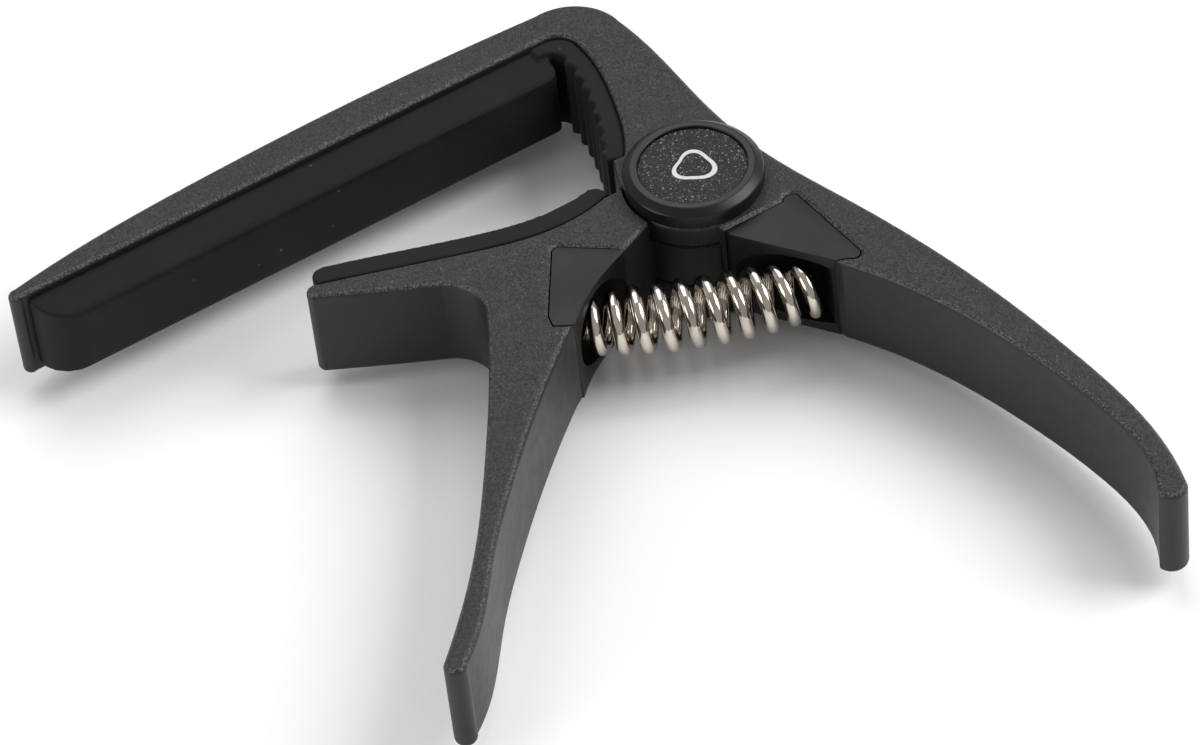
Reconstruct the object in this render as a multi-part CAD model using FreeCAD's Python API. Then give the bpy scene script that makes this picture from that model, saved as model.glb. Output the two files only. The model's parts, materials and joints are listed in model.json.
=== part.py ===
"""Spring-loaded guitar capo: a fixed upper lever and a moving lower lever that turn on one pin.

The capo rests on its rear cap. +Z is up through its thickness and along the hinge pin, and the
long string pad runs along X. The origin is under the middle of its footprint, level with the
rear cap's face. Shapes are drawn from the hinge axis and the levers' back faces, so (0, 0) in
an outline is the pin and height 0 is the levers' back. Millimetres.
"""
import FreeCAD
import Part
import math
import os

V = FreeCAD.Vector

# ---- driving dimensions ----
THICK = 10.0                    # both levers, front face to back face
CAP_HEIGHT = 2.0                # each cap stands this far proud of the levers
PIVOT = V(21.42, 14.65, CAP_HEIGHT)     # hinge axis at the levers' back, seen from the origin
EDGE_ROUND = 0.6                # rounding of the levers' outer edges

HUB_R = 6.3                     # cheeks and tongue
SLOT_R = 6.6                    # concave clearance round the tongue
RELIEF_R = 6.7                  # concave clearance round the cheeks
CHEEK = 2.3                     # thickness of each cheek
TONGUE_Z = (2.7, 7.3)           # the tongue lies between these heights

PIN_R = 2.0
PIN_HEAD_R = 3.4
PIN_HEAD = 0.9                  # height of its head, and of the clip on its other end
BUSH_R = 2.6
BUSH_CLEARANCE = 0.04
WASHER_R = (2.1, 5.2)
WASHER = 0.32

CAP_R = 6.5
CAP_TOP_Z = THICK + CAP_HEIGHT
CAP_RING_R = 6.0                # flat ring, inside the bevel
CAP_BEVEL = 0.5
INLAY_R = 5.05                  # its recess in the cap
INLAY_GAP = 0.05
INLAY_Z = (11.5, 11.78)
CAP_ROOF_Z = 11.0
CAP_WALL_R = 5.7
CAP_GRIP_R = (3.45, 4.2)        # ring inside the cap that grips the pin's head
CAP_GRIP_GAP = 0.05             # between that ring and the lever

SEAT_INSET = 0.25               # the seats' faces lie this far below the levers' faces
SEAT_CLEARANCE = 0.13           # gap all round a seat in its recess
SEAT_OPENING = 3.0              # the recesses are cut this far past the seats' open sides
RECESS_BEVEL = 0.3              # round the rims of the recesses
POCKET_R = 3.85
POCKET_LENGTH = 12.0            # far enough to come out of the seat
POCKET_SPARE = 0.5              # the pocket floors lie this far beyond the spring's ends
SPRING_R = 3.2                  # outside
SPRING_WIRE = 1.2
SPRING_TURNS = 10.5
SPRING_LEFT = V(-16.5, -4.6, THICK / 2)
SPRING_RIGHT = V(4.4, -14.1, THICK / 2)
SPRING_BOW = 4.0                # degrees that each pocket turns from the spring's chord

ARM_SEAM_Y = 24.8               # underside of the string arm
PAD_FACE_Y = 20.9               # the face that presses on the strings
PAD_X = (-56.4, -1.3)
PAD_ROOT_Z = (0.8, 9.2)
PAD_FACE_Z = (1.5, 8.5)
LINER_Z = (0.5, 9.5)
RIB_R = 0.5
RIB_PITCH = 1.9
RIB_COUNT = 8
NECK_PAD_Z = (0.15, 9.85)


class Outline:
    """A closed outline in the XY plane, drawn stretch by stretch."""

    def __init__(self, x, y):
        self.start = self.here = V(x, y, 0)
        self.edges = []

    def line(self, x, y):
        end = V(x, y, 0)
        if (end - self.here).Length > 1e-6:
            self.edges.append(Part.makeLine(self.here, end))
        self.here = end
        return self

    def arc(self, via, end):
        end = V(*end, 0)
        self.edges.append(Part.Arc(self.here, V(*via, 0), end).toShape())
        self.here = end
        return self

    def curve(self, *points):
        spline = Part.BSplineCurve()
        spline.interpolate([self.here] + [V(x, y, 0) for x, y in points])
        self.edges.append(spline.toShape())
        self.here = V(*points[-1], 0)
        return self

    def plate(self, low, high, grow=0.0):
        """The outline, grown sideways by this much, as a plate between two heights."""
        self.line(self.start.x, self.start.y)
        face = Part.Face(Part.Wire(self.edges))
        if grow:
            face = face.makeOffset2D(grow)
        face.translate(V(0, 0, low))
        return face.extrude(V(0, 0, high - low))


def disc(radius, low, high, bore=0.0):
    solid = Part.makeCylinder(radius, high - low, V(0, 0, low))
    if bore:
        solid = solid.cut(Part.makeCylinder(bore, high - low, V(0, 0, low)))
    return solid


def on_hub(degrees, radius=HUB_R):
    angle = math.radians(degrees)
    return radius * math.cos(angle), radius * math.sin(angle)


def round_rims(plate, radius):
    """Rounds every edge of a plate's front and back faces."""
    low, high = plate.BoundBox.ZMin, plate.BoundBox.ZMax
    rims = [e for e in plate.Edges
            if e.BoundBox.ZMax - e.BoundBox.ZMin < 1e-6
            and min(abs(e.BoundBox.ZMin - low), abs(e.BoundBox.ZMin - high)) < 1e-6]
    return plate.makeFillet(radius, rims)


# ---- outlines ----
JAW_SEAM = ((-11.8, 2.7), (-16.3, 3.2), (-21.6, 4.9), (-28.2, 7.4), (-34.4, 9.7))


def throat(outline):
    """Draws the concave inner edge of the throat upwards, up to the underside of the arm."""
    outline.curve((-1.4, 10.0), (0.1, 14.0), (1.2, 18.0), (1.6, 22.3))
    return outline.arc((1.05, 24.05), (-0.6, ARM_SEAM_Y))


def upper_outline():
    """The string arm, throat, cheeks and right handle, with the spring seat's place filled."""
    o = Outline(-3.2, 6.9)
    throat(o)
    o.line(-56.9, ARM_SEAM_Y)
    o.arc((-57.9, 25.35), (-57.0, 26.2))
    o.curve((-50.0, 27.35), (-36.0, 28.45), (-20.0, 28.85), (0.3, 28.2))
    o.arc((4.65, 26.8), (6.5, 22.6))
    o.curve((6.85, 17.0), (6.65, 8.0), (7.3, 0.0), (10.1, -11.1), (13.0, -23.9),
            (14.8, -39.2), (14.8, -50.4), (13.15, -57.4))
    o.arc((11.5, -58.1), (10.35, -56.9))
    o.curve((12.35, -52.2), (12.6, -45.4), (11.3, -36.1), (9.1, -27.2), (4.7, -17.1))
    o.line(4.5, -16.4)
    o.line(-1.2, -7.7)
    o.line(*on_hub(-104))
    o.arc(on_hub(-160), on_hub(150))
    o.line(-5.95, 3.45)
    o.line(-4.4, 7.0)
    return o


def lower_outline():
    """The neck jaw and left handle, with the spring seat's place filled, up to inside the hub."""
    o = Outline(-5.0, 3.3)
    o.line(-7.9, 3.3)
    o.curve(*JAW_SEAM)
    o.arc((-35.75, 9.55), (-35.7, 8.5))
    o.curve((-30.8, 5.6), (-25.6, 2.7))
    o.arc((-23.75, 0.0), (-24.4, -3.2))
    o.curve((-28.1, -9.5), (-33.8, -18.0), (-40.4, -26.9), (-46.3, -33.4), (-49.2, -36.2))
    o.arc((-49.1, -37.8), (-47.5, -37.3))
    o.curve((-45.2, -35.4), (-39.3, -28.4), (-33.8, -22.4), (-26.8, -15.6), (-19.7, -9.5))
    o.line(-18.5, -8.7)
    o.curve((-16.3, -6.9), (-13.7, -5.3), (-10.1, -3.7))
    o.line(-7.0, -2.4)
    return o.line(-5.0, -1.7)


def fixed_seat_outline(reach=0.0):
    """The seat in the upper lever; reach carries its open side out, to cut its recess."""
    o = Outline(-1.2 - reach, -7.8 - reach * 0.1)
    o.line(-1.2, -7.15)
    o.line(5.0, -7.2)
    o.arc((5.75, -6.75), (6.5, -7.1))
    o.line(6.95, -16.4)
    o.arc((6.5, -17.1), (5.7, -16.8))
    o.line(4.5, -16.3)
    return o.line(4.5 - reach, -16.3 - reach * 0.7)


def moving_seat_outline(reach=0.0):
    """The seat in the lower lever; reach carries its open side out, to cut its recess."""
    o = Outline(-20.2, -7.8)
    o.line(-19.9, -6.6)
    o.line(-15.4, 0.0)
    o.arc((-14.85, 0.45), (-14.2, 0.1))
    o.line(-10.4, -3.1)
    o.line(-10.1 + reach * 0.1, -3.75 - reach)
    if reach:
        o.line(-18.9 + reach, -8.8 - reach * 0.4)
    else:
        o.curve((-13.7, -5.3), (-16.3, -6.9), (-18.5, -8.8))
    return o.line(-19.1, -8.6)


def on_back(shape):
    """The same shape on the levers' back faces."""
    return shape.mirror(V(0, 0, THICK / 2), V(0, 0, 1))


def rim_bevel(outline):
    """The tool that bevels the front rim of a notch with this outline."""
    low = THICK - RECESS_BEVEL
    tool = outline.plate(low, THICK + 1, grow=SEAT_CLEARANCE + RECESS_BEVEL)
    bottom = [e for e in tool.Edges if e.BoundBox.ZMax - low < 1e-6]
    return tool.makeChamfer(RECESS_BEVEL * 0.99, bottom)


def recess(seat_outline):
    """The full-depth notch that a seat is let into, open on the spring's side."""
    notch = seat_outline(reach=SEAT_OPENING).plate(-1, THICK + 1, grow=SEAT_CLEARANCE)
    notch = notch.fuse(seat_outline().plate(-1, THICK + 1))
    bevel = rim_bevel(seat_outline())
    return notch.fuse([bevel, on_back(bevel)])


# ---- levers ----
def upper_lever():
    body = round_rims(upper_outline().plate(0, THICK), EDGE_ROUND)
    body = body.cut(disc(SLOT_R, CHEEK, THICK - CHEEK))
    body = body.cut(recess(fixed_seat_outline))
    return body.cut(disc(PIN_R, 0, THICK))


def lower_lever():
    body = round_rims(lower_outline().plate(0, THICK), EDGE_ROUND)
    body = body.cut(recess(moving_seat_outline))
    body = body.cut(disc(RELIEF_R, -1, TONGUE_Z[0]))
    body = body.cut(disc(RELIEF_R, TONGUE_Z[1], THICK + 1))
    body = body.fuse(disc(HUB_R, *TONGUE_Z)).removeSplitter()
    return body.cut(disc(BUSH_R, *TONGUE_Z))


# ---- spring and its seats ----
def spring_directions():
    """Unit vectors along the bowed spring at its left and right ends."""
    chord = SPRING_RIGHT - SPRING_LEFT
    heading = math.degrees(math.atan2(chord.y, chord.x))
    ends = []
    for turn in (-SPRING_BOW, SPRING_BOW):
        angle = math.radians(heading + turn)
        ends.append(V(math.cos(angle), math.sin(angle), 0))
    return ends


def pocket(spring_end, inwards):
    return Part.makeCylinder(POCKET_R, POCKET_LENGTH, spring_end - inwards * POCKET_SPARE, inwards)


def spring_seat(seat_outline, spring_end, inwards):
    body = seat_outline().plate(SEAT_INSET, THICK - SEAT_INSET)
    return body.cut(pocket(spring_end, inwards))


def spring():
    """A plain helix between the two pocket floors."""
    chord = SPRING_RIGHT - SPRING_LEFT
    length = chord.Length - 2 * SPRING_WIRE
    mean_r = SPRING_R - SPRING_WIRE / 2
    path = Part.Wire(Part.makeHelix(length / SPRING_TURNS, length, mean_r))
    section = Part.Wire(Part.makeCircle(SPRING_WIRE / 2, V(mean_r, 0, 0), V(0, 1, 0)))
    coil = path.makePipeShell([section], True, True)
    turn = FreeCAD.Rotation(V(0, 0, 1), chord)
    start = SPRING_LEFT + chord * (SPRING_WIRE / chord.Length)
    coil.Placement = FreeCAD.Placement(start, turn)
    return Part.Solid(Part.Shell(coil.Faces))


# ---- pads ----
def string_pad():
    """The pressing block, and the ribbed liner that the same moulding carries down the throat."""
    root_low, root_high = PAD_ROOT_Z
    face_low, face_high = PAD_FACE_Z
    section = Part.makePolygon([
        V(PAD_X[0] - 1, ARM_SEAM_Y, root_low), V(PAD_X[0] - 1, PAD_FACE_Y, face_low),
        V(PAD_X[0] - 1, PAD_FACE_Y, face_high), V(PAD_X[0] - 1, ARM_SEAM_Y, root_high),
        V(PAD_X[0] - 1, ARM_SEAM_Y, root_low)])
    bar = Part.Face(section).extrude(V(PAD_X[1] - PAD_X[0] + 2, 0, 0))
    long_edges = [e for e in bar.Edges
                  if e.BoundBox.XLength > 1 and abs(e.BoundBox.YMin - PAD_FACE_Y) < 1e-3]
    bar = bar.makeFillet(EDGE_ROUND, long_edges)
    plan = Outline(PAD_X[0], ARM_SEAM_Y + 1)
    plan.line(PAD_X[0], ARM_SEAM_Y - 0.3)
    plan.arc((-55.3, 22.0), (-52.4, PAD_FACE_Y - 0.01))
    plan.line(PAD_X[1] - 1.5, PAD_FACE_Y - 0.01)
    plan.arc((PAD_X[1] - 0.45, PAD_FACE_Y + 0.4), (PAD_X[1], PAD_FACE_Y + 1.4))
    plan.line(PAD_X[1], ARM_SEAM_Y + 1)
    block = bar.common(plan.plate(0, THICK))

    lining = Outline(-3.2, 6.9)
    throat(lining)
    lining.line(PAD_X[1] - 1, ARM_SEAM_Y)
    lining.line(PAD_X[1] - 1, ARM_SEAM_Y - 1.3)
    lining.arc((-0.75, 23.0), (-0.15, 21.9))
    lining.curve((-0.5, 18.4), (-1.5, 14.6), (-3.0, 10.8), (-4.75, 7.6))
    inner = lining.edges[-1].Curve
    liner = lining.plate(*LINER_Z)
    ribs = []
    for n in range(RIB_COUNT):
        at = inner.value(inner.parameterAtDistance(0.8 + n * RIB_PITCH))
        ribs.append(Part.makeCylinder(RIB_R, LINER_Z[1] - LINER_Z[0], V(at.x, at.y, LINER_Z[0])))
    return block.fuse([liner] + ribs).removeSplitter()


def neck_pad():
    o = Outline(-7.2, 3.35)
    o.line(-7.9, 3.3)
    o.curve(*JAW_SEAM)
    o.arc((-34.35, 10.9), (-33.0, 11.35))
    o.curve((-29.0, 9.9), (-20.0, 6.5), (-14.5, 4.98), (-8.4, 5.05))
    o.arc((-7.5, 4.6), (-7.15, 3.6))
    return o.plate(*NECK_PAD_Z).cut(lower_outline().plate(0, THICK))


# ---- hinge hardware ----
def hinge_pin():
    shank = disc(PIN_R, -PIN_HEAD, THICK)
    return shank.fuse(disc(PIN_HEAD_R, THICK, THICK + PIN_HEAD)).removeSplitter()


def front_cap():
    ring_low, ring_high = CAP_GRIP_R
    grip_z = THICK + CAP_GRIP_GAP
    profile = Part.makePolygon([V(r, 0, z) for r, z in (
        (0, CAP_ROOF_Z), (ring_low, CAP_ROOF_Z), (ring_low, grip_z), (ring_high, grip_z),
        (ring_high, CAP_ROOF_Z), (CAP_WALL_R, CAP_ROOF_Z), (CAP_WALL_R, THICK), (CAP_R, THICK),
        (CAP_R, CAP_TOP_Z - CAP_BEVEL), (CAP_RING_R, CAP_TOP_Z), (INLAY_R, CAP_TOP_Z),
        (INLAY_R, INLAY_Z[0]), (0, INLAY_Z[0]), (0, CAP_ROOF_Z))])
    return Part.Face(profile).revolve(V(0, 0, 0), V(0, 0, 1), 360)


def washer(middle_z):
    return disc(WASHER_R[1], middle_z - WASHER / 2, middle_z + WASHER / 2, WASHER_R[0])


def pieces():
    gap = (CHEEK + TONGUE_Z[0]) / 2
    left_heading, right_heading = spring_directions()
    inlay = disc(INLAY_R - INLAY_GAP, *INLAY_Z)
    return {
        "upper_lever": upper_lever(),
        "lower_lever": lower_lever(),
        "string_pad": string_pad(),
        "neck_pad": neck_pad(),
        "fixed_spring_seat": spring_seat(fixed_seat_outline, SPRING_RIGHT, -right_heading),
        "moving_spring_seat": spring_seat(moving_seat_outline, SPRING_LEFT, left_heading),
        "spring": spring(),
        "hinge_pin": hinge_pin(),
        "hinge_bush": disc(BUSH_R, *TONGUE_Z, bore=PIN_R + BUSH_CLEARANCE),
        "front_thrust_washer": washer(THICK - gap),
        "rear_thrust_washer": washer(gap),
        "pin_clip": disc(PIN_HEAD_R, -PIN_HEAD, 0, bore=PIN_R),
        "front_cap": front_cap(),
        "front_inlay": inlay,
        "rear_cap": on_back(front_cap()),
        "rear_inlay": on_back(inlay),
    }


os.makedirs("parts", exist_ok=True)
whole = FreeCAD.BoundBox()
for name, shape in pieces().items():
    shape.translate(PIVOT)
    shape.exportStep("parts/" + name + ".step")
    whole.add(shape.BoundBox)
    print(name, shape.ShapeType, len(shape.Solids), shape.isValid(), round(shape.Volume, 1))
print("box", whole)
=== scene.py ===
"""The looks of a spring-loaded guitar capo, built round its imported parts. Metres; the frame's own axes."""

import bmesh
import bpy
import json
import math
from mathutils import Matrix, Vector


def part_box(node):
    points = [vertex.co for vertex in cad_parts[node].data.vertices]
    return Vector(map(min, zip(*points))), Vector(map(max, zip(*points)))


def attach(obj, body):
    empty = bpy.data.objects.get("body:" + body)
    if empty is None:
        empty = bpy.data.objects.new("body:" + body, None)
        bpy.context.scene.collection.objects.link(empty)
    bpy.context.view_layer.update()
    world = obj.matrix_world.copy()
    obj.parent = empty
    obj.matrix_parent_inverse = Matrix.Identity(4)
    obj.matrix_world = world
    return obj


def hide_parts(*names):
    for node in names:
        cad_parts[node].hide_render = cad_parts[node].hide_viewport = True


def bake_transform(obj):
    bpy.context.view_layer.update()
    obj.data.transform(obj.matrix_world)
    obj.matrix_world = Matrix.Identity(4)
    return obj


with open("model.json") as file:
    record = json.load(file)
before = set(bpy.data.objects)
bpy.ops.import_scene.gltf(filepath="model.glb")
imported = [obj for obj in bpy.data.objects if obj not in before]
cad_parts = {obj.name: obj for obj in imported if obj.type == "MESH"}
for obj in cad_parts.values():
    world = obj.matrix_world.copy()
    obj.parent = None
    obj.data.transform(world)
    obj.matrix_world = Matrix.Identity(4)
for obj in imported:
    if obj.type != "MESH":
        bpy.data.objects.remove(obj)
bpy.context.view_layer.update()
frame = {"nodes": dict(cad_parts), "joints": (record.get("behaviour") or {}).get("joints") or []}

MM = 0.001
HINGE = Vector(next(j for j in frame["joints"] if j["name"] == "lever_hinge")["pos_m"])


# ---------------------------------------------------------------- node helpers
class Nodes:
    """Adds and links nodes in one tree."""

    def __init__(self, tree):
        self.tree = tree

    def add(self, kind, values=None, **settings):
        node = self.tree.nodes.new(kind)
        for name, value in settings.items():
            setattr(node, name, value)
        for socket, value in (values or {}).items():
            self.feed(node.inputs[socket], value)
        return node

    def feed(self, socket, value):
        if isinstance(value, bpy.types.NodeSocket):
            self.tree.links.new(value, socket)
        else:
            socket.default_value = value

    def math(self, operation, a, b=0.0, clamp=False):
        kind = "ShaderNodeMath"
        return self.add(kind, {0: a, 1: b}, operation=operation, use_clamp=clamp).outputs[0]

    def ramp(self, value, low, high, to_low=0.0, to_high=1.0):
        """A smooth step of value from low to high."""
        node = self.add("ShaderNodeMapRange", {"Value": value, "From Min": low, "From Max": high,
                                               "To Min": to_low, "To Max": to_high},
                        interpolation_type="SMOOTHSTEP")
        return node.outputs["Result"]

    def blend(self, factor, a, b):
        node = self.add("ShaderNodeMix", data_type="RGBA")
        self.feed(node.inputs["Factor"], factor)
        sockets = [s for s in node.inputs if s.type == "RGBA"]
        self.feed(sockets[0], a)
        self.feed(sockets[1], b)
        return next(s for s in node.outputs if s.type == "RGBA")

    def noise(self, scale, detail=2.0, roughness=0.5, vector=None):
        node = self.add("ShaderNodeTexNoise", {"Scale": scale, "Detail": detail, "Roughness": roughness})
        if vector is not None:
            self.feed(node.inputs["Vector"], vector)
        return node.outputs["Fac"]


def grey(value, warm=0.0):
    """A linear grey with alpha; warm tips it towards red."""
    return (value * (1 + warm), value, value * (1 - warm), 1.0)


def new_material(name):
    """A material with a Principled shader, and the node helper, object coordinates and shader."""
    material = bpy.data.materials.new(name)
    material.use_nodes = True
    n = Nodes(material.node_tree)
    shader = material.node_tree.nodes["Principled BSDF"]
    coords = n.add("ShaderNodeTexCoord")
    return material, n, coords, shader


# ---------------------------------------------------------------- materials
def moulded_grain(name, cell, face, wall, contrast, glints, relief):
    """Black moulding with a sandy grain on its faces and smooth satin walls, with a painted highlight along
    its rims and painted glints in the grain.
    """
    material, n, coords, shader = new_material(name)
    place = coords.outputs["Object"]
    up = n.add("ShaderNodeSeparateXYZ", {0: coords.outputs["Normal"]}).outputs["Z"]
    tilt = n.math("ABSOLUTE", up)
    on_face = n.ramp(tilt, 0.62, 0.95)
    rim = n.math("MULTIPLY", n.ramp(tilt, 0.30, 0.60), n.ramp(tilt, 0.86, 0.99, 1.0, 0.0))

    grains = n.add("ShaderNodeTexVoronoi", {"Vector": place, "Scale": 1 / cell, "Randomness": 1.0})
    shares = n.add("ShaderNodeSeparateColor", {0: grains.outputs["Color"]}).outputs
    hollow = n.ramp(grains.outputs["Distance"], 0.10, 0.80)
    core = n.ramp(grains.outputs["Distance"], 0.25, 0.60, 1.0, 0.0)
    fine = n.noise(2.6 / cell, 2.0, 0.6, place)
    broad = n.noise(220.0, 3.0, 0.55, place)
    # Painted glints: a few grain cells on the faces are painted bright grey, standing in for sparkles of
    # reflected light.
    glint = n.math("MULTIPLY", n.ramp(shares[0], 1 - 2 * glints, 1.0), core)
    glint = n.math("MULTIPLY", glint, on_face)

    tone = n.blend(shares[1], grey(face * (1 - contrast)), grey(face * (1 + contrast)))
    tone = n.blend(n.math("MULTIPLY", hollow, 0.45), tone, grey(face * 0.4))
    tone = n.blend(n.ramp(broad, 0.3, 0.75, 0.0, 0.35), tone, grey(face * 0.75))
    side = n.blend(n.ramp(n.noise(90.0, 2.0, 0.5, place), 0.3, 0.7), grey(wall * 0.85), grey(wall * 1.2))
    tone = n.blend(on_face, side, tone)
    # Painted highlight: a brighter, broken line along the rims, where rounded edges would catch the light.
    rim_highlight = n.math("MULTIPLY", rim, n.ramp(n.noise(5200.0, 3.0, 0.75, place), 0.45, 0.62))
    tone = n.blend(n.math("MULTIPLY", rim_highlight, 0.7), tone, grey(0.15))
    tone = n.blend(n.math("MULTIPLY", glint, shares[2]), tone, grey(0.36, -0.03))
    n.feed(shader.inputs["Base Color"], tone)

    gloss = n.ramp(n.noise(700.0, 3.0, 0.6, place), 0.3, 0.7, 0.39, 0.45)
    rough = n.ramp(fine, 0.3, 0.7, 0.50, 0.66)
    rough = n.add("ShaderNodeMix", {"Factor": on_face, "A": gloss, "B": rough}).outputs["Result"]
    rough = n.math("SUBTRACT", rough, n.math("MULTIPLY", glint, 0.3), clamp=True)
    n.feed(shader.inputs["Roughness"], rough)

    height = n.math("SUBTRACT", n.math("MULTIPLY", fine, 0.5), hollow)
    height = n.math("MULTIPLY", height, n.ramp(tilt, 0.35, 0.9, 0.06, 1.0))
    bump = n.add("ShaderNodeBump", {"Strength": 0.8, "Distance": relief, "Height": height})
    n.feed(shader.inputs["Normal"], bump.outputs["Normal"])
    shader.inputs["Specular IOR Level"].default_value = 0.4
    return material


def satin_plastic(name, tone, gloss_low, gloss_high):
    """Smooth moulded plastic with faint flow marks and fine scuffs."""
    material, n, coords, shader = new_material(name)
    place = coords.outputs["Object"]
    flow = n.noise(130.0, 3.0, 0.55, place)
    fine = n.noise(5200.0, 2.0, 0.5, place)
    scuff_map = n.add("ShaderNodeMapping", {"Vector": place, "Scale": (400.0, 2600.0, 400.0)})
    scuffs = n.ramp(n.noise(1.0, 3.0, 0.6, scuff_map.outputs["Vector"]), 0.62, 0.75)
    colour = n.blend(n.ramp(flow, 0.3, 0.7), grey(tone * 0.85), grey(tone * 1.2))
    colour = n.blend(n.math("MULTIPLY", scuffs, 0.25), colour, grey(tone * 2.2))
    n.feed(shader.inputs["Base Color"], colour)
    rough = n.ramp(flow, 0.25, 0.75, gloss_low, gloss_high)
    rough = n.math("ADD", rough, n.math("MULTIPLY", scuffs, 0.08))
    n.feed(shader.inputs["Roughness"], rough)
    height = n.math("ADD", n.math("MULTIPLY", fine, 0.4), n.math("MULTIPLY", scuffs, 0.3))
    bump = n.add("ShaderNodeBump", {"Strength": 0.35, "Distance": 6e-6, "Height": height})
    n.feed(shader.inputs["Normal"], bump.outputs["Normal"])
    shader.inputs["Specular IOR Level"].default_value = 0.35
    return material


def black_silicone(name):
    """Matte black silicone with a bloom of fine dust."""
    material, n, coords, shader = new_material(name)
    place = coords.outputs["Object"]
    cloud = n.noise(160.0, 3.0, 0.6, place)
    skin = n.noise(3800.0, 3.0, 0.6, place)
    specks = n.add("ShaderNodeTexVoronoi", {"Vector": place, "Scale": 900.0})
    chance = n.add("ShaderNodeSeparateColor", {0: specks.outputs["Color"]}).outputs[1]
    speck = n.ramp(specks.outputs["Distance"], 0.04, 0.16, 1.0, 0.0)
    dust = n.math("MULTIPLY", n.ramp(chance, 0.985, 1.0), speck)
    colour = n.blend(n.ramp(cloud, 0.35, 0.75), grey(0.0075), grey(0.0135))
    colour = n.blend(dust, colour, grey(0.16, 0.05))
    n.feed(shader.inputs["Base Color"], colour)
    n.feed(shader.inputs["Roughness"], n.ramp(cloud, 0.3, 0.7, 0.52, 0.64))
    height = n.math("ADD", n.math("MULTIPLY", skin, 0.8), dust)
    bump = n.add("ShaderNodeBump", {"Strength": 0.4, "Distance": 1.2e-5, "Height": height})
    n.feed(shader.inputs["Normal"], bump.outputs["Normal"])
    shader.inputs["Specular IOR Level"].default_value = 0.12
    shader.inputs["Sheen Weight"].default_value = 0.04
    shader.inputs["Sheen Roughness"].default_value = 0.5
    return material


def bright_metal(name, tone, rough_low, rough_high, lines):
    """Plated or turned metal: drawn lines, slight tarnish in patches."""
    material, n, coords, shader = new_material(name)
    place = coords.outputs["Object"]
    patches = n.noise(260.0, 2.0, 0.5, place)
    drawn = n.noise(lines, 2.0, 0.6, place)
    colour = n.blend(n.ramp(patches, 0.42, 0.72), tone, tuple(c * 0.72 for c in tone[:3]) + (1.0,))
    n.feed(shader.inputs["Base Color"], colour)
    n.feed(shader.inputs["Roughness"], n.ramp(drawn, 0.3, 0.7, rough_low, rough_high))
    bump = n.add("ShaderNodeBump", {"Strength": 0.08, "Distance": 2e-6, "Height": drawn})
    n.feed(shader.inputs["Normal"], bump.outputs["Normal"])
    shader.inputs["Metallic"].default_value = 1.0
    return material


def printed_white(name):
    """Pad-printed paint, thin enough to show the grain under it."""
    material, n, coords, shader = new_material(name)
    worn = n.noise(2600.0, 3.0, 0.7, coords.outputs["Object"])
    colour = n.blend(n.ramp(worn, 0.55, 0.8), grey(0.62), grey(0.34))
    n.feed(shader.inputs["Base Color"], colour)
    n.feed(shader.inputs["Roughness"], n.ramp(worn, 0.3, 0.7, 0.45, 0.6))
    bump = n.add("ShaderNodeBump", {"Strength": 0.5, "Distance": 1.5e-5, "Height": worn})
    n.feed(shader.inputs["Normal"], bump.outputs["Normal"])
    return material


lever_finish = moulded_grain("lever grain", 0.13 * MM, 0.030, 0.012, 0.95, 0.012, 0.03 * MM)
seat_finish = satin_plastic("seat satin", 0.0035, 0.42, 0.52)
cap_finish = satin_plastic("cap satin", 0.006, 0.32, 0.42)
inlay_finish = moulded_grain("inlay grain", 0.17 * MM, 0.010, 0.010, 0.90, 0.26, 0.05 * MM)
# A darker, rougher satin for the spring pockets; the darker tone is painted shade inside the recess.
pocket_shade_finish = satin_plastic("pocket painted shade", 0.0025, 0.70, 0.85)
silicone = black_silicone("black silicone")
nickel = bright_metal("nickel plate", (0.66, 0.60, 0.53, 1.0), 0.07, 0.13, 5200.0)
steel = bright_metal("turned steel", (0.58, 0.58, 0.60, 1.0), 0.25, 0.38, 3200.0)
acetal = satin_plastic("acetal", 0.03, 0.4, 0.5)
paint = printed_white("printed white")


# ---------------------------------------------------------------- mesh helpers
def show(name, mesh, material, body, slot_name, *nodes):
    """Puts a finished mesh in the scene, on its body, standing for the CAD nodes named."""
    piece = bpy.data.objects.new(name, mesh)
    bpy.context.scene.collection.objects.link(piece)
    mesh.materials.clear()
    mesh.materials.append(material)
    if body:
        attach(piece, body)
    if nodes:
        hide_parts(*nodes)
    return piece


def merged_copy(node):
    """A copy of a CAD node's mesh with its loose triangles joined, as a new mesh."""
    work = bmesh.new()
    work.from_mesh(frame["nodes"][node].data)
    bmesh.ops.remove_doubles(work, verts=work.verts, dist=1e-7)
    mesh = bpy.data.meshes.new(node + "_copy")
    work.to_mesh(mesh)
    work.free()
    return mesh


def finished(mesh, *modifiers):
    """The mesh that these modifiers, given as (kind, settings), make of this one."""
    worker = bpy.data.objects.new("worker", mesh)
    bpy.context.scene.collection.objects.link(worker)
    for kind, settings in modifiers:
        modifier = worker.modifiers.new(kind.lower(), kind)
        for name, value in settings.items():
            setattr(modifier, name, value)
    graph = bpy.context.evaluated_depsgraph_get()
    result = bpy.data.meshes.new_from_object(worker.evaluated_get(graph), depsgraph=graph)
    bpy.data.objects.remove(worker)
    return result


def shade(mesh, angle=None):
    """Smooth shading all over, or with edges sharper than this angle left crisp."""
    mesh.polygons.foreach_set("use_smooth", [True] * len(mesh.polygons))
    if angle is not None:
        mesh.set_sharp_from_angle(angle=angle)
    mesh.update()
    return mesh


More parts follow.
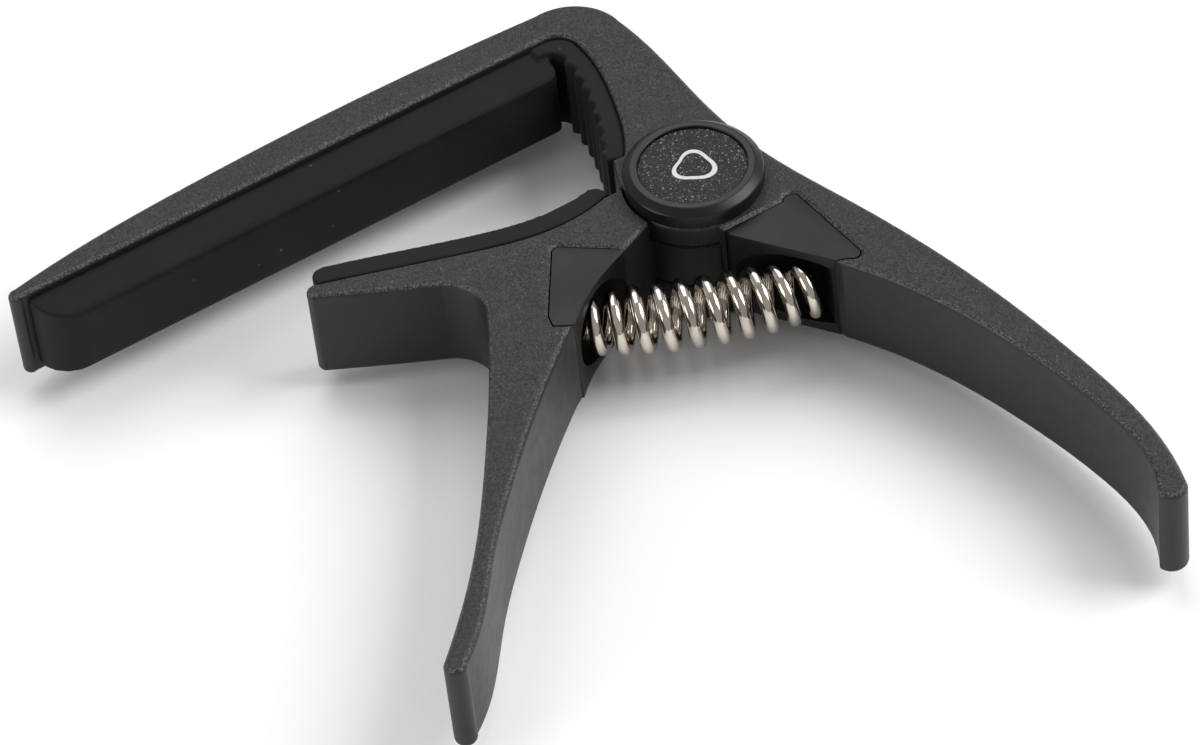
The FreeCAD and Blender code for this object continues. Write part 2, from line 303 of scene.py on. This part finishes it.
def lathe(name, profile, segments):
    """Turns a profile of (radius, height) pairs round the hinge axis into a closed mesh."""
    work = bmesh.new()
    rings = []
    for radius, height in profile:
        if radius == 0:
            rings.append([work.verts.new((HINGE.x, HINGE.y, height))])
            continue
        ring = []
        for k in range(segments):
            turn = 2 * math.pi * k / segments
            ring.append(work.verts.new((HINGE.x + radius * math.cos(turn),
                                        HINGE.y + radius * math.sin(turn), height)))
        rings.append(ring)
    for low, high in zip(rings, rings[1:]):
        for k in range(segments):
            corners = [low[k % len(low)], low[(k + 1) % len(low)],
                       high[(k + 1) % len(high)], high[k % len(high)]]
            work.faces.new(list(dict.fromkeys(corners)))
    bmesh.ops.recalc_face_normals(work, faces=work.faces)
    mesh = bpy.data.meshes.new(name)
    work.to_mesh(mesh)
    work.free()
    return mesh


def rounded(profile, radius, steps=5):
    """A profile with each inner corner replaced by an arc of about this radius."""
    points = [profile[0]]
    for before, corner, after in zip(profile, profile[1:], profile[2:]):
        corner = Vector(corner)
        back, on = Vector(before) - corner, Vector(after) - corner
        reach = min(radius, back.length * 0.45, on.length * 0.45)
        start, end = corner + back.normalized() * reach, corner + on.normalized() * reach
        for k in range(steps + 1):
            t = k / steps
            points.append(tuple(start * (1 - t) ** 2 + corner * 2 * t * (1 - t) + end * t ** 2))
    points.append(profile[-1])
    return points


# ---------------------------------------------------------------- levers
def dress(node, material):
    """Gives a CAD node its finish."""
    mesh = frame["nodes"][node].data
    mesh.materials.clear()
    mesh.materials.append(material)


dress("upper_lever", lever_finish)
dress("lower_lever", lever_finish)
for hidden, finish in (("hinge_pin", steel), ("pin_clip", steel), ("hinge_bush", acetal),
                       ("front_thrust_washer", acetal), ("rear_thrust_washer", acetal)):
    dress(hidden, finish)


# ---------------------------------------------------------------- silicone pads
PAD_VOXEL = 0.16 * MM


def silicone_moulding(node, name, body):
    """A soft moulding: the CAD solid with its edges melted to a small radius."""
    mesh = finished(merged_copy(node),
                    ("REMESH", {"mode": "VOXEL", "voxel_size": PAD_VOXEL, "use_smooth_shade": True}),
                    ("SMOOTH", {"factor": 0.5, "iterations": 6}))
    show(name, shade(mesh), silicone, body, "pad_silicone", node)


silicone_moulding("string_pad", "string_pad_moulding", "upper")
silicone_moulding("neck_pad", "neck_pad_moulding", "lower")


# ---------------------------------------------------------------- spring seats
POCKET_R = 3.9 * MM
SEAT_EDGE = 0.22 * MM


def seat(node, body, spring_end, inwards):
    """A seat with softened edges, and a darker, rougher wall inside its pocket; the darker tone is painted
    shade in the recess.
    """
    mesh = finished(merged_copy(node),
                    ("BEVEL", {"width": SEAT_EDGE, "segments": 3, "limit_method": "ANGLE",
                               "angle_limit": math.radians(35), "use_clamp_overlap": True}))
    show(node + "_block", shade(mesh, math.radians(40)), seat_finish, body, "seat_plastic", node)
    # The pocket's faces get the darker material, which paints the shade inside the recess.
    mesh.materials.append(pocket_shade_finish)
    for face in mesh.polygons:
        offset = face.center - spring_end
        away = offset - inwards * offset.dot(inwards)
        if away.length < POCKET_R and face.normal.dot(offset) < POCKET_R / 2:
            face.material_index = 1


LEFT_END = HINGE + Vector((-16.5, -4.6, 0)) * MM
RIGHT_END = HINGE + Vector((4.4, -14.1, 0)) * MM
CHORD = RIGHT_END - LEFT_END
POCKET_TURN = math.radians(4.0)

seat("fixed_spring_seat", "upper", RIGHT_END,
     Matrix.Rotation(POCKET_TURN, 3, "Z") @ -CHORD.normalized())
seat("moving_spring_seat", "lower", LEFT_END,
     Matrix.Rotation(-POCKET_TURN, 3, "Z") @ CHORD.normalized())


# ---------------------------------------------------------------- caps
cap_low, cap_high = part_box("front_cap")
inlay_low, inlay_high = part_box("front_inlay")
CAP_R = (cap_high.x - cap_low.x) / 2
INLAY_R = (inlay_high.x - inlay_low.x) / 2
INLAY_FIT = 0.05 * MM
CAP_WALL = 0.8 * MM
CAP_ROOF = 0.5 * MM
CAP_BEVEL = (0.75 * MM, 0.6 * MM)
CAP_EDGE = 0.16 * MM
INLAY_RIM_FROM = 0.94
INLAY_RIM_DROP = 0.08 * MM
MARK_SIZES = (1.95 * MM, 1.55 * MM)
MARK_THICK = 0.03 * MM
MARK_TURN = math.radians(-60.0)


def to_back(mesh):
    """The same mesh on the back of the levers."""
    mesh.transform(Matrix.Translation((0, 0, 2 * HINGE.z)) @ Matrix.Diagonal((1, 1, -1, 1)))
    mesh.flip_normals()
    return mesh


def cap_mesh():
    """A cap's shell: skirt, bevel, flat ring, and the recess that the inlay lies in."""
    top, bottom = cap_high.z, cap_low.z
    wall = INLAY_R + INLAY_FIT
    floor = inlay_low.z
    underside = floor - CAP_ROOF
    skirt_r = CAP_R - CAP_WALL
    profile = rounded([
        (wall, floor), (wall, top), (CAP_R - CAP_BEVEL[0], top), (CAP_R, top - CAP_BEVEL[1]),
        (CAP_R, bottom), (skirt_r, bottom)], CAP_EDGE)
    profile = [(0, floor)] + profile + [(skirt_r, underside), (0, underside)]
    return shade(lathe("cap", profile, 160), math.radians(40))


def inlay_mesh():
    """A grained disc with a softened rim."""
    rings = 60
    profile = [(0, inlay_high.z)]
    for k in range(1, rings + 1):
        radius = INLAY_R * k / rings
        over_rim = max(0.0, (k / rings - INLAY_RIM_FROM) / (1 - INLAY_RIM_FROM))
        drop = INLAY_RIM_DROP * over_rim ** 2
        profile.append((radius, inlay_high.z - drop))
    profile += [(INLAY_R, inlay_low.z), (0, inlay_low.z)]
    return shade(lathe("inlay", profile, 120), math.radians(40))


def printed_mark():
    """A plectrum's outline printed on the front inlay, a few hundredths of a millimetre thick."""
    points = 96
    work = bmesh.new()
    rings = []
    for size in MARK_SIZES:
        for height in (inlay_high.z - MARK_THICK, inlay_high.z + MARK_THICK):
            ring = []
            for k in range(points):
                turn = 2 * math.pi * k / points
                reach = size * (1 + 0.13 * math.cos(3 * turn) + 0.10 * math.cos(turn))
                ring.append(work.verts.new((HINGE.x + reach * math.cos(turn + MARK_TURN),
                                            HINGE.y + reach * math.sin(turn + MARK_TURN), height)))
            rings.append(ring)
    outer_low, outer_high, inner_low, inner_high = rings
    for low, high in ((outer_low, outer_high), (outer_high, inner_high),
                      (inner_high, inner_low), (inner_low, outer_low)):
        for k in range(points):
            after = (k + 1) % points
            work.faces.new((low[k], low[after], high[after], high[k]))
    bmesh.ops.recalc_face_normals(work, faces=work.faces)
    mesh = bpy.data.meshes.new("printed_mark")
    work.to_mesh(mesh)
    work.free()
    show("printed_mark", shade(mesh, math.radians(40)), paint, "upper", "inlay_plastic")


show("front_cap_shell", cap_mesh(), cap_finish, "upper", "cap_plastic", "front_cap")
show("rear_cap_shell", to_back(cap_mesh()), cap_finish, "upper", "cap_plastic", "rear_cap")
show("front_inlay_disc", inlay_mesh(), inlay_finish, "upper", "inlay_plastic", "front_inlay")
show("rear_inlay_disc", to_back(inlay_mesh()), inlay_finish, "upper", "inlay_plastic", "rear_inlay")
printed_mark()


# ---------------------------------------------------------------- spring
def spring_tree():
    """Geometry Nodes for a bowed barrel spring, along X from its left end."""
    tree = bpy.data.node_groups.new("bowed spring", "GeometryNodeTree")
    for name, kind in (("Turns", "Float"), ("Points per turn", "Int"), ("Coil radius", "Float"),
                       ("Taper", "Float"), ("Closing", "Float"), ("Wire radius", "Float"),
                       ("Chord", "Float"), ("Bow", "Float"), ("First turn at", "Float"),
                       ("Finish", "Material")):
        tree.interface.new_socket(name, in_out="INPUT", socket_type="NodeSocket" + kind)
    tree.interface.new_socket("Geometry", in_out="OUTPUT", socket_type="NodeSocketGeometry")
    n = Nodes(tree)
    given = n.add("NodeGroupInput").outputs
    count = n.math("MULTIPLY", given["Turns"], given["Points per turn"])
    line = n.add("GeometryNodeMeshLine", {"Count": count})
    index = n.add("GeometryNodeInputIndex").outputs[0]
    along = n.math("DIVIDE", index, n.math("SUBTRACT", count, 1.0))
    wave = n.math("SINE", n.math("MULTIPLY", along, 2 * math.pi))
    squeeze = n.math("MULTIPLY", wave, n.math("DIVIDE", given["Closing"], 2 * math.pi))
    reached = n.math("SUBTRACT", along, squeeze)
    off_middle = n.math("ABSOLUTE", n.math("SUBTRACT", n.math("MULTIPLY", along, 2.0), 1.0))
    loss = n.math("MULTIPLY", n.math("POWER", off_middle, 3.0), given["Taper"])
    coil_radius = n.math("MULTIPLY", given["Coil radius"], n.math("SUBTRACT", 1.0, loss))
    lean = n.math("MULTIPLY", n.math("SUBTRACT", reached, 0.5), given["Bow"])
    half = n.math("MULTIPLY", given["Bow"], 0.5)
    half_chord = n.math("MULTIPLY", given["Chord"], 0.5)
    reach = n.math("DIVIDE", half_chord, n.math("SINE", half))
    sine, cosine = n.math("SINE", lean), n.math("COSINE", lean)
    axis_x = n.math("ADD", n.math("MULTIPLY", reach, sine), half_chord)
    axis_y = n.math("MULTIPLY", reach, n.math("SUBTRACT", n.math("COSINE", half), cosine))
    turn = n.math("MULTIPLY", n.math("MULTIPLY", along, given["Turns"]), 2 * math.pi)
    turn = n.math("ADD", turn, given["First turn at"])
    out = n.math("MULTIPLY", n.math("COSINE", turn), coil_radius)
    rise = n.math("MULTIPLY", n.math("SINE", turn), coil_radius)
    place = n.add("ShaderNodeCombineXYZ", {
        "X": n.math("SUBTRACT", axis_x, n.math("MULTIPLY", out, sine)),
        "Y": n.math("ADD", axis_y, n.math("MULTIPLY", out, cosine)), "Z": rise})
    coil = n.add("GeometryNodeSetPosition", {"Geometry": line.outputs[0], "Position": place.outputs[0]})
    path = n.add("GeometryNodeMeshToCurve", {"Mesh": coil.outputs[0]})
    wire = n.add("GeometryNodeCurvePrimitiveCircle", {"Resolution": 20, "Radius": given["Wire radius"]})
    body = n.add("GeometryNodeCurveToMesh", {"Curve": path.outputs[0],
                                             "Profile Curve": wire.outputs["Curve"], "Fill Caps": True})
    smooth = n.add("GeometryNodeSetShadeSmooth", {"Geometry": body.outputs[0]})
    real = n.add("GeometryNodeRealizeInstances", {"Geometry": smooth.outputs[0]})
    painted = n.add("GeometryNodeSetMaterial", {"Geometry": real.outputs[0], "Material": given["Finish"]})
    n.add("NodeGroupOutput", {0: painted.outputs[0]})
    return tree


def from_tree(tree, values):
    """The plain mesh that a Geometry Nodes tree makes with these named inputs."""
    worker = bpy.data.objects.new("worker", bpy.data.meshes.new("worker"))
    bpy.context.scene.collection.objects.link(worker)
    modifier = worker.modifiers.new("nodes", "NODES")
    modifier.node_group = tree
    for item in tree.interface.items_tree:
        if item.in_out == "INPUT" and item.name in values:
            modifier[item.identifier] = values[item.name]
    graph = bpy.context.evaluated_depsgraph_get()
    mesh = bpy.data.meshes.new_from_object(worker.evaluated_get(graph), depsgraph=graph)
    bpy.data.objects.remove(worker)
    return mesh


WIRE_R = 0.64 * MM
COIL_R = 2.7 * MM
TURNS = 10.3
END_TAPER = 0.2
END_CLOSING = 0.07
BOW = math.radians(20.0)
FIRST_TURN_AT = math.radians(250.0)


def spring():
    """The spring between the two pocket floors, bowed along its length."""
    start = LEFT_END + CHORD.normalized() * WIRE_R
    mesh = from_tree(spring_tree(), {
        "Turns": TURNS, "Points per turn": 48, "Coil radius": COIL_R, "Taper": END_TAPER,
        "Closing": END_CLOSING, "Wire radius": WIRE_R, "Chord": CHORD.length - 2 * WIRE_R,
        "Bow": BOW, "First turn at": FIRST_TURN_AT, "Finish": nickel})
    heading = math.atan2(CHORD.y, CHORD.x)
    mesh.transform(Matrix.Translation(start) @ Matrix.Rotation(heading, 4, "Z"))
    piece = show("compression_spring", mesh, nickel, None, "spring_nickel", "spring")
    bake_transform(piece)


spring()


# ---------------------------------------------------------------- stage, light and camera
FLOOR_HALF = 4.0
FLOOR_GAP = 0.02 * MM


def stage():
    """A plain white floor just under the capo."""
    mesh = bpy.data.meshes.new("floor")
    corners = [(x * FLOOR_HALF, y * FLOOR_HALF, 0) for x, y in ((-1, -1), (1, -1), (1, 1), (-1, 1))]
    mesh.from_pydata(corners, [], [(0, 1, 2, 3)])
    floor = bpy.data.objects.new("floor", mesh)
    floor.location.z = -FLOOR_GAP
    bpy.context.scene.collection.objects.link(floor)
    material, _, _, shader = new_material("paper")
    shader.inputs["Base Color"].default_value = grey(0.95)
    shader.inputs["Roughness"].default_value = 0.9
    mesh.materials.append(material)


def soft_box(name, azimuth, elevation, distance, size, watts):
    """A square area light that faces the capo."""
    lamp = bpy.data.lights.new(name, "AREA")
    lamp.size = size
    lamp.energy = watts
    holder = bpy.data.objects.new(name, lamp)
    a, e = math.radians(azimuth), math.radians(elevation)
    away = Vector((math.sin(a) * math.cos(e), -math.cos(a) * math.cos(e), math.sin(e)))
    holder.location = away * distance
    holder.rotation_euler = away.to_track_quat("Z", "Y").to_euler()
    bpy.context.scene.collection.objects.link(holder)


CAMERA_AZIMUTH = math.radians(-27.7)
CAMERA_ELEVATION = math.radians(45.3)
CAMERA_ROLL = math.radians(6.9)
CAMERA_AIM = HINGE + Vector((-15.56, -6.77, -5.0)) * MM
CAMERA_DISTANCE_MM = 518.2
CAMERA_SENSOR = 36.0
CAMERA_LENS = 171.0


def camera():
    """Looks down on the capo from its front left, with a slight roll."""
    azimuth, elevation = CAMERA_AZIMUTH, CAMERA_ELEVATION
    away = Vector((math.sin(azimuth) * math.cos(elevation),
                   -math.cos(azimuth) * math.cos(elevation), math.sin(elevation)))
    lens = bpy.data.cameras.new("camera")
    lens.sensor_width = CAMERA_SENSOR
    lens.lens = CAMERA_LENS
    lens.clip_start = 0.01
    holder = bpy.data.objects.new("camera", lens)
    turn = away.to_track_quat("Z", "Y").to_matrix() @ Matrix.Rotation(-CAMERA_ROLL, 3, "Z")
    place = Matrix.Translation(CAMERA_AIM + away * CAMERA_DISTANCE_MM * MM)
    holder.matrix_world = place @ turn.to_4x4()
    bpy.context.scene.collection.objects.link(holder)
    bpy.context.scene.camera = holder


def daylight():
    """An even white surround that fills the shadows."""
    world = bpy.data.worlds.new("studio")
    world.use_nodes = True
    world.node_tree.nodes["Background"].inputs["Color"].default_value = grey(1.0)
    world.node_tree.nodes["Background"].inputs["Strength"].default_value = 0.40
    bpy.context.scene.world = world


stage()
daylight()
soft_box("key", 62.0, 42.0, 0.8, 0.5, 4.6)
soft_box("back", 160.0, 55.0, 0.9, 0.7, 3.2)
soft_box("side", -95.0, 14.0, 0.9, 0.5, 2.8)
camera()
bpy.context.scene.view_settings.view_transform = "Standard"
